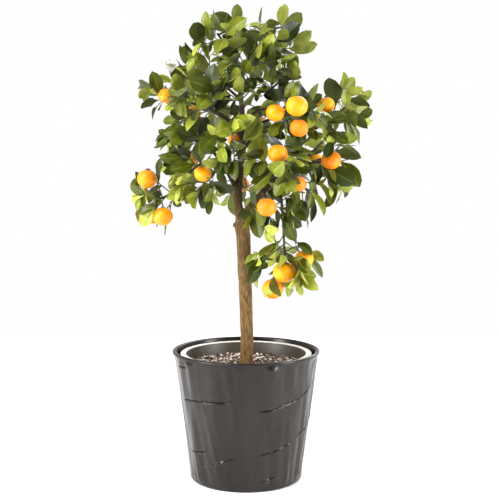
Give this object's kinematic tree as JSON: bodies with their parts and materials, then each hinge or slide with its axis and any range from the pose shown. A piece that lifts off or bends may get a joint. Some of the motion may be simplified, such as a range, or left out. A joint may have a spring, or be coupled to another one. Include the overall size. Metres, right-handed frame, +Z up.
{
  "type": "potted orange tree",
  "caption": "Small orange tree grown as a standard with a round fruiting crown, in a dark round pot with split-slate relief, with gravel on the soil.",
  "frame": {"origin": "middle of the pot's flat underside, at the surface it stands on", "axes": "+Z up along the trunk; -Y is the side the picture shows, and +X is on its right"},
  "size_m": [0.4212, 0.4062, 0.8324],
  "materials": {
    "pot_glaze": "dark grey-brown satin glaze over split-slate relief",
    "grow_pot_plastic": "pale satin plastic flange with a darker inner wall",
    "potting_soil": "dark crumbly potting soil",
    "pumice_gravel": "pale pinkish pumice granules, matt",
    "bark": "brown bark with fine fissures, matt",
    "foliage": "waxy green leaves on green twigs, with satin orange fruit"
  },
  "bodies": {
    "root": {"back_left_bough": "bark", "back_left_foliage": "foliage", "back_low_bough": "bark", "back_low_foliage": "foliage", "back_middle_bough": "bark", "back_middle_foliage": "foliage", "back_right_bough": "bark", "back_right_foliage": "foliage", "back_top_bough": "bark", "back_top_foliage": "foliage", "back_upper_left_bough": "bark", "back_upper_left_foliage": "foliage", "back_upper_right_bough": "bark", "back_upper_right_foliage": "foliage", "centre_front_bough": "bark", "centre_front_foliage": "foliage", "fruiting_right_bough": "bark", "fruiting_right_foliage": "foliage", "gravel_layer": "pumice_gravel", "grow_pot": "grow_pot_plastic", "hanging_bough": "bark", "hanging_foliage": "foliage", "leader": "bark", "left_bough": "bark", "left_shoulder_bough": "bark", "left_shoulder_foliage": "foliage", "lower_left_bough": "bark", "lower_left_foliage": "foliage", "lower_outer_left_bough": "bark", "lower_outer_left_foliage": "foliage", "lower_outer_right_bough": "bark", "lower_outer_right_foliage": "foliage", "lower_right_bough": "bark", "lower_right_foliage": "foliage", "middle_left_foliage": "foliage", "middle_right_bough": "bark", "middle_right_foliage": "foliage", "outer_left_bough": "bark", "outer_left_foliage": "foliage", "outer_right_bough": "bark", "outer_right_foliage": "foliage", "potting_soil": "potting_soil", "right_bough": "bark", "right_drop_foliage": "foliage", "right_front_bough": "bark", "right_front_foliage": "foliage", "slate_pot": "pot_glaze", "top_front_bough": "bark", "top_front_foliage": "foliage", "top_left_foliage": "foliage", "top_right_bough": "bark", "top_right_foliage": "foliage", "trunk": "bark", "upper_front_bough": "bark", "upper_front_foliage": "foliage", "upper_left_bough": "bark", "upper_left_foliage": "foliage", "upper_right_bough": "bark", "upper_right_foliage": "foliage"}
  },
  "joints": []
}
